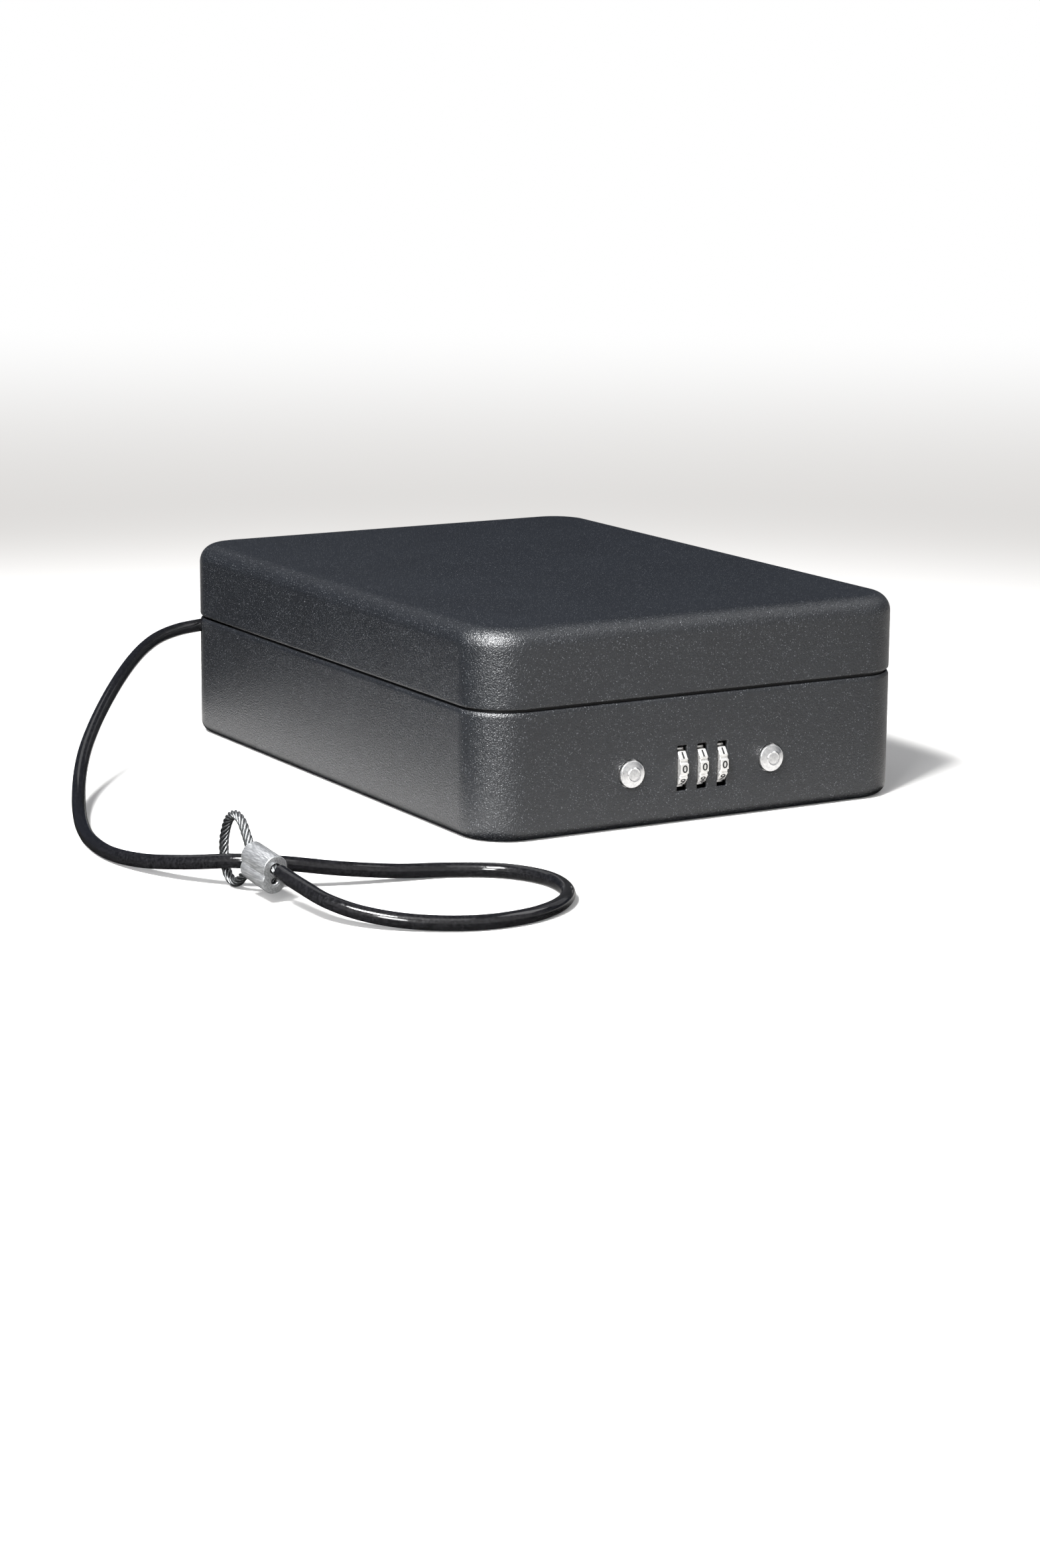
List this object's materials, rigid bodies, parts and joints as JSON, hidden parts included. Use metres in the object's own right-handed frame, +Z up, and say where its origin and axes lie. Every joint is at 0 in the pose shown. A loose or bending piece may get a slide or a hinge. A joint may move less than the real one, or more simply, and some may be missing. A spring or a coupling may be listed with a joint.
{
  "type": "portable car safe",
  "caption": "Small steel lock box with a hinged lid, number dials between push buttons at the front and a tether cable with a noose at its end.",
  "frame": {"origin": "centre of the underside", "axes": "+X to the right of someone facing the dials, +Y from the dials to the hinge, +Z up"},
  "size_m": [0.3028, 0.3448, 0.0755],
  "materials": {
    "paint": "fine-textured dark grey powder coat",
    "steel": "zinc plated",
    "black_steel": "satin black paint",
    "spring_steel": "blued",
    "nickel": "nickel plated zinc casting",
    "chrome": "polished",
    "brass": "turned",
    "aluminium": "drawn, with drag marks",
    "rope": "galvanised, twisted",
    "jacket": "glossy black",
    "foam": "matt foam pad"
  },
  "bodies": {
    "base": {"base_shell": "paint", "base_lip": "black_steel", "base_liner": "foam", "hinge_leaf_base": "steel", "hinge_pin": "steel", "anchor_post": "steel", "lock_frame": "steel", "lock_cover": "black_steel", "dial_bracket": "steel", "dial_spindle": "steel", "detent_spring": "spring_steel", "locking_comb": "spring_steel", "button_spring_left": "spring_steel", "button_spring_right": "spring_steel", "spindle_clip_left": "spring_steel", "spindle_clip_right": "spring_steel", "weld_stud_left": "steel", "weld_stud_right": "steel", "stud_nut_left": "steel", "stud_nut_right": "steel", "cover_screw_left": "steel", "cover_screw_right": "steel", "detent_rivet_left": "steel", "detent_rivet_right": "steel", "comb_rivet_left": "steel", "comb_rivet_right": "steel", "cable_free": "jacket", "ferrule_outer": "aluminium", "eye_outer": "rope", "cable_inside": "jacket", "ferrule_inside": "aluminium", "eye_inside": "rope"},
    "lid": {"lid_shell": "paint", "lid_liner": "foam", "hinge_leaf_lid": "steel", "striker_left": "steel", "striker_right": "steel"},
    "dial_1": {"dial_1": "nickel", "cam_sleeve_1": "brass"},
    "dial_2": {"dial_2": "nickel", "cam_sleeve_2": "brass"},
    "dial_3": {"dial_3": "nickel", "cam_sleeve_3": "brass"},
    "button_left": {"button_left": "chrome", "catch_left": "spring_steel", "stem_clip_left": "spring_steel"},
    "button_right": {"button_right": "chrome", "catch_right": "spring_steel", "stem_clip_right": "spring_steel"},
    "reset_lever": {"reset_lever": "steel"}
  },
  "joints": [
    {"name": "lid_hinge", "type": "hinge", "parent": "base", "child": "lid", "pos_m": [0, 0.1215, 0.0468], "axis": [-1, 0, 0], "range_deg": [0, 105], "deforming": ["catch_left", "catch_right"]},
    {"name": "dial_1_turn", "type": "hinge", "parent": "base", "child": "dial_1", "pos_m": [-0.0085, -0.1154, 0.0202], "axis": [1, 0, 0], "continuous": true, "deforming": ["detent_spring"]},
    {"name": "dial_2_turn", "type": "hinge", "parent": "base", "child": "dial_2", "pos_m": [0, -0.1154, 0.0202], "axis": [1, 0, 0], "continuous": true, "deforming": ["locking_comb"]},
    {"name": "dial_3_turn", "type": "hinge", "parent": "base", "child": "dial_3", "pos_m": [0.0085, -0.1154, 0.0202], "axis": [1, 0, 0], "continuous": true},
    {"name": "button_left_press", "type": "slide", "parent": "base", "child": "button_left", "axis": [0, 1, 0], "range_m": [0, 0.0025], "stiffness_N_per_m": 800, "springref_m": -0.002, "deforming": ["button_spring_left"]},
    {"name": "button_right_press", "type": "slide", "parent": "base", "child": "button_right", "axis": [0, 1, 0], "range_m": [0, 0.0025], "stiffness_N_per_m": 800, "springref_m": -0.002, "deforming": ["button_spring_right"]},
    {"name": "reset_slide", "type": "slide", "parent": "base", "child": "reset_lever", "axis": [-1, 0, 0], "range_m": [0, 0.0022]}
  ]
}
